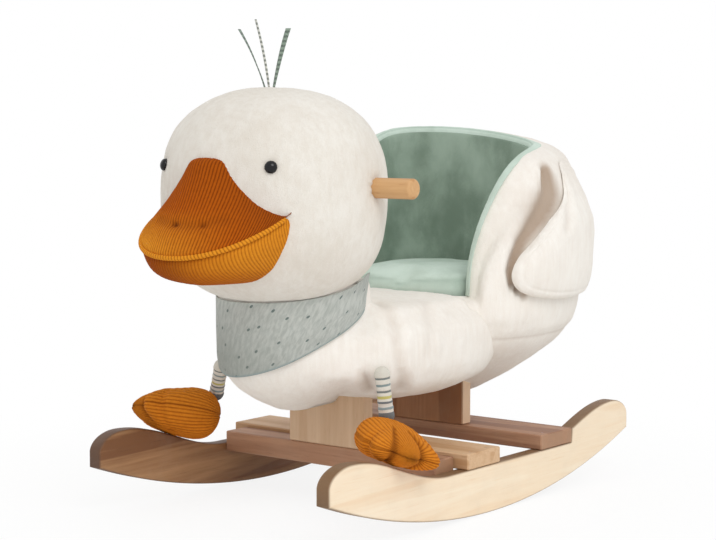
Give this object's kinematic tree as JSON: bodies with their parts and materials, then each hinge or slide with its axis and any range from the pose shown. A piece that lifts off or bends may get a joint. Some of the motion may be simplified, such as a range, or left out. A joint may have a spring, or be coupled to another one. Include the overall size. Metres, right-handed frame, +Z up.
{
  "type": "rocking duck",
  "caption": "Toddler's rocking duck: padded bucket seat on bowed wooden rockers, with a stuffed head, corduroy bill, bar handle, soft wings and dangling legs.",
  "frame": {"origin": "on the floor, in the middle of the part's outline box", "axes": "+Z up, the duck looks along -Y, +X is the duck's left side"},
  "size_m": [0.4128, 0.6794, 0.5531],
  "materials": {
    "plush": "short off-white pile",
    "mint_velvet": "pale mint velvet",
    "sage_velvet": "sage velvet",
    "corduroy": "ribbed ochre-orange corduroy",
    "kerchief_cotton": "pale blue-grey printed cotton",
    "striped_jersey": "ringed jersey",
    "ribbon_tape": "narrow grey-green tape",
    "beech": "pale oiled wood",
    "acacia": "mid-brown oiled wood",
    "plywood": "raw plywood",
    "black_plastic": "glossy black",
    "steel": "zinc-plated"
  },
  "bodies": {
    "rocker_body": {"back_board": "plywood", "back_screw_1": "steel", "back_screw_2": "steel", "beak_lower": "corduroy", "beak_upper": "corduroy", "beak_welt": "corduroy", "chest": "plush", "eye_left": "black_plastic", "eye_right": "black_plastic", "eye_washer_left": "black_plastic", "eye_washer_right": "black_plastic", "front_crossbar": "acacia", "front_crossbar_screw_1": "steel", "front_crossbar_screw_2": "steel", "front_crossbar_screw_3": "steel", "front_crossbar_screw_4": "steel", "front_lower_rail": "acacia", "front_upright": "beech", "front_upright_screw_1": "steel", "front_upright_screw_2": "steel", "handle": "beech", "head": "plush", "kerchief": "kerchief_cotton", "neck_post": "beech", "neck_screw_1": "steel", "neck_screw_2": "steel", "rail_dowel_left": "beech", "rail_dowel_right": "beech", "rear_crossbar": "acacia", "rear_crossbar_screw_1": "steel", "rear_crossbar_screw_2": "steel", "rear_crossbar_screw_3": "steel", "rear_crossbar_screw_4": "steel", "rear_upright": "acacia", "rear_upright_screw_1": "steel", "rear_upright_screw_2": "steel", "ribbon_left": "ribbon_tape", "ribbon_middle": "ribbon_tape", "ribbon_right": "ribbon_tape", "runner_left": "beech", "runner_right": "beech", "seat_board": "plywood", "seat_cushion": "mint_velvet", "seat_lining": "sage_velvet", "seat_piping": "mint_velvet", "seat_screw_1": "steel", "seat_screw_2": "steel", "seat_screw_3": "steel", "seat_screw_4": "steel", "seat_shell": "plush", "side_board_left": "plywood", "side_board_right": "plywood"},
    "leg_left": {"leg_left": "striped_jersey"},
    "foot_left": {"foot_left": "corduroy"},
    "leg_right": {"leg_right": "striped_jersey"},
    "foot_right": {"foot_right": "corduroy"},
    "wing_left": {"wing_left": "plush"},
    "wing_right": {"wing_right": "plush"}
  },
  "joints": [
    {"name": "hip_left", "type": "hinge", "parent": "rocker_body", "child": "leg_left", "pos_m": [0.122, -0.12883, 0.169], "axis": [0, -1, 0], "range_deg": [0, 45]},
    {"name": "ankle_left", "type": "hinge", "parent": "leg_left", "child": "foot_left", "pos_m": [0.125, -0.12483, 0.124], "axis": [-0.5592, -0.829, 0], "range_deg": [0, 30]},
    {"name": "hip_right", "type": "hinge", "parent": "rocker_body", "child": "leg_right", "pos_m": [-0.112, -0.13083, 0.157], "axis": [0, 1, 0], "range_deg": [0, 45]},
    {"name": "ankle_right", "type": "hinge", "parent": "leg_right", "child": "foot_right", "pos_m": [-0.125, -0.12483, 0.124], "axis": [-0.6157, 0.788, 0], "range_deg": [0, 30]},
    {"name": "wing_root_left", "type": "hinge", "parent": "rocker_body", "child": "wing_left", "pos_m": [0.11166, 0.29517, 0.2986], "axis": [0, 0, 1], "range_deg": [0, 25]},
    {"name": "wing_root_right", "type": "hinge", "parent": "rocker_body", "child": "wing_right", "pos_m": [-0.11166, 0.29517, 0.2986], "axis": [0, 0, -1], "range_deg": [0, 25]}
  ]
}
